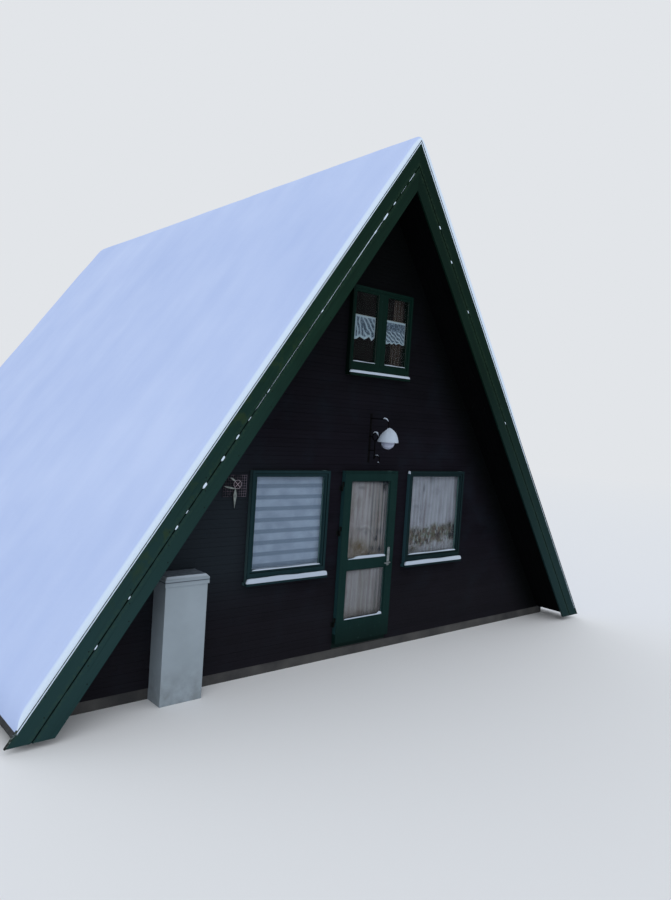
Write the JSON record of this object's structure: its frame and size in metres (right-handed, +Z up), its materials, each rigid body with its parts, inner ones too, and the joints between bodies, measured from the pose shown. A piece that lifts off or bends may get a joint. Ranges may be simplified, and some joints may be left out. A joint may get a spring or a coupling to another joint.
{
  "type": "a-frame cabin",
  "caption": "A-frame timber cabin with steep snow-covered roof slopes, recessed gable walls, half-glazed front door, windows and a loft.",
  "frame": {"origin": "on the ground, under the middle of the ridge", "axes": "+X along the front to the right as seen from outside, +Y from the front to the back, +Z up"},
  "size_m": [8.4592, 9.116, 6.2439],
  "materials": {
    "concrete": "rough",
    "floor_boards": "satin",
    "roofing": "matte",
    "cladding": "matte",
    "green_wood": "satin",
    "flashing": "matte",
    "clear_glass": "polished",
    "handle_metal": "satin",
    "hinge_metal": "satin",
    "net_fabric": "sheer",
    "blind_fabric": "matte",
    "lace": "sheer",
    "brown_fabric": "matte",
    "lamp_iron": "satin",
    "lamp_enamel": "gloss",
    "opal_glass": "gloss",
    "wire": "satin",
    "star_metal": "satin",
    "cabinet_plastic": "matte",
    "snow": "matte"
  },
  "bodies": {
    "cabin": {"foundation": "concrete", "ground_floor": "floor_boards", "loft_floor": "floor_boards", "roof_left": "roofing", "roof_right": "roofing", "ridge_cap": "flashing", "roof_covering_left": "flashing", "roof_covering_right": "flashing", "front_wall_left": "cladding", "front_wall_right": "cladding", "front_gable_wall": "cladding", "back_wall": "cladding", "back_gable_wall": "cladding", "front_bargeboards_left": "green_wood", "front_bargeboards_right": "green_wood", "back_bargeboards_left": "green_wood", "back_bargeboards_right": "green_wood", "front_flashing": "flashing", "back_flashing": "flashing", "door_frame": "green_wood", "door_hinges_frame": "hinge_metal", "window_left_frame": "green_wood", "window_left_glass": "clear_glass", "window_left_sill": "green_wood", "window_left_blind": "blind_fabric", "window_right_frame": "green_wood", "window_right_glass": "clear_glass", "window_right_sill": "green_wood", "window_right_curtain": "net_fabric", "window_upper_frame": "green_wood", "window_upper_sashes": "green_wood", "window_upper_glass": "clear_glass", "window_upper_sill": "green_wood", "window_upper_lace": "lace", "window_upper_curtain": "brown_fabric", "back_window_frames": "green_wood", "back_upper_window_frame": "green_wood", "back_window_glass": "clear_glass", "back_window_sills": "green_wood", "lamp_bracket": "lamp_iron", "lamp_shade": "lamp_enamel", "lamp_globe": "opal_glass", "wall_trellis": "wire", "wall_star": "star_metal", "meter_cabinet": "cabinet_plastic", "meter_cabinet_lid": "cabinet_plastic", "roof_snow_left": "snow", "roof_snow_right": "snow"},
    "door": {"door_leaf": "green_wood", "door_glass": "clear_glass", "door_handle": "handle_metal", "door_hinges_leaf": "hinge_metal", "door_curtain": "net_fabric"}
  },
  "joints": [
    {"name": "front_door_swing", "type": "hinge", "parent": "cabin", "child": "door", "pos_m": [-0.448, -4.098, 0.2], "axis": [0, 0, -1], "range_deg": [0, 105]}
  ]
}
